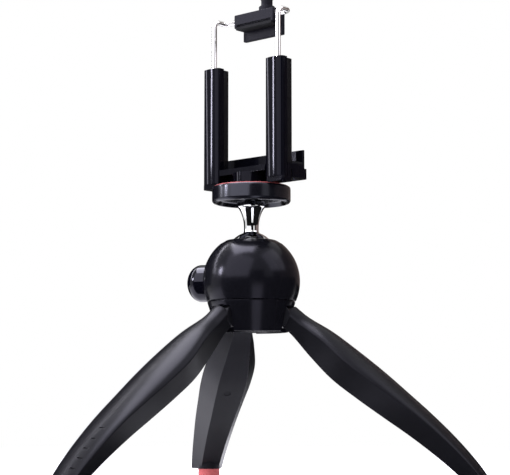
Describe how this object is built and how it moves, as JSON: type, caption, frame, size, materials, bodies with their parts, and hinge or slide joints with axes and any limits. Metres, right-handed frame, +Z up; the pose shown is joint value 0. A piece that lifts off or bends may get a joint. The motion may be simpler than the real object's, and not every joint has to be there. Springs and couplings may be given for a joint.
{
  "type": "phone tripod",
  "caption": "Pocket tripod with folding bowed legs, a ball head with a push-button lock, and a sprung clamp whose upper jaw hangs on a wire bail.",
  "frame": {"origin": "on the ground, at the middle of the box round the whole tripod with its legs open", "axes": "+Z up; +X along the clamp's jaws, towards the leg at 25 degrees; +Y through the clamp, from its sleeves to its lips"},
  "size_m": [0.2047, 0.1871, 0.2475],
  "materials": {
    "satin_black": "satin",
    "gloss_black": "gloss",
    "red_rubber": "matte",
    "dark_rubber": "matte",
    "chrome": "polished",
    "steel": "polished",
    "nylon": "satin",
    "slate_plastic": "matte",
    "brass": "satin"
  },
  "bodies": {
    "housing": {"upper_shell": "satin_black", "lower_shell": "satin_black", "bottom_cap": "satin_black", "shell_screws": "steel", "ball_collar": "nylon", "pressure_plate": "steel", "leg_pins": "steel", "button_spring": "steel"},
    "seat": {"ball_seat": "nylon"},
    "ball": {"ball_stem": "chrome", "platform": "satin_black", "platform_pad": "red_rubber", "mount_screw": "steel"},
    "clip": {"clip_base": "gloss_black", "socket_insert": "brass", "base_pad": "dark_rubber", "sleeve_left": "gloss_black", "sleeve_right": "gloss_black", "cover_left": "gloss_black", "cover_right": "gloss_black", "bush_left": "nylon", "bush_right": "nylon", "spring_left": "steel", "spring_right": "steel", "clip_screws": "steel"},
    "bail": {"wire_bail": "steel", "bail_stops": "steel", "upper_jaw": "slate_plastic", "jaw_pad": "dark_rubber", "pull_knob": "slate_plastic"},
    "button": {"release_button": "gloss_black", "lock_slide": "steel"},
    "right_leg": {"leg_right": "satin_black", "foot_right": "red_rubber"},
    "back_leg": {"leg_back": "satin_black", "foot_back": "red_rubber"},
    "front_leg": {"leg_front": "satin_black", "foot_front": "red_rubber"}
  },
  "joints": [
    {"name": "ball_pan", "type": "hinge", "parent": "housing", "child": "seat", "pos_m": [-0.00434, 0.02154, 0.1122], "axis": [0, 0, 1], "continuous": true},
    {"name": "ball_tilt", "type": "hinge", "parent": "seat", "child": "ball", "pos_m": [-0.00434, 0.02154, 0.1122], "axis": [1, 0, 0], "range_deg": [-28, 28]},
    {"name": "clip_turn", "type": "hinge", "parent": "ball", "child": "clip", "pos_m": [-0.00434, 0.02154, 0.1468], "axis": [0, 0, 1], "continuous": true},
    {"name": "bail_slide", "type": "slide", "parent": "clip", "child": "bail", "axis": [0, 0, 1], "range_m": [-0.012, 0.015], "stiffness_N_per_m": 600, "springref_m": 0.0005, "deforming": ["spring_left", "spring_right"]},
    {"name": "button_press", "type": "slide", "parent": "housing", "child": "button", "axis": [0.9063, 0.4226, 0], "range_m": [0, 0.003], "stiffness_N_per_m": 800, "deforming": ["button_spring"]},
    {"name": "leg_fold_right", "type": "hinge", "parent": "housing", "child": "right_leg", "pos_m": [0.00971, 0.02809, 0.083], "axis": [-0.4226, 0.9063, 0], "range_deg": [0, 50]},
    {"name": "leg_fold_back", "type": "hinge", "parent": "housing", "child": "back_leg", "pos_m": [-0.01705, 0.03044, 0.083], "axis": [-0.5736, -0.8192, 0], "range_deg": [0, 50]},
    {"name": "leg_fold_front", "type": "hinge", "parent": "housing", "child": "front_leg", "pos_m": [-0.0057, 0.00609, 0.083], "axis": [0.9962, -0.0872, 0], "range_deg": [0, 50]}
  ]
}
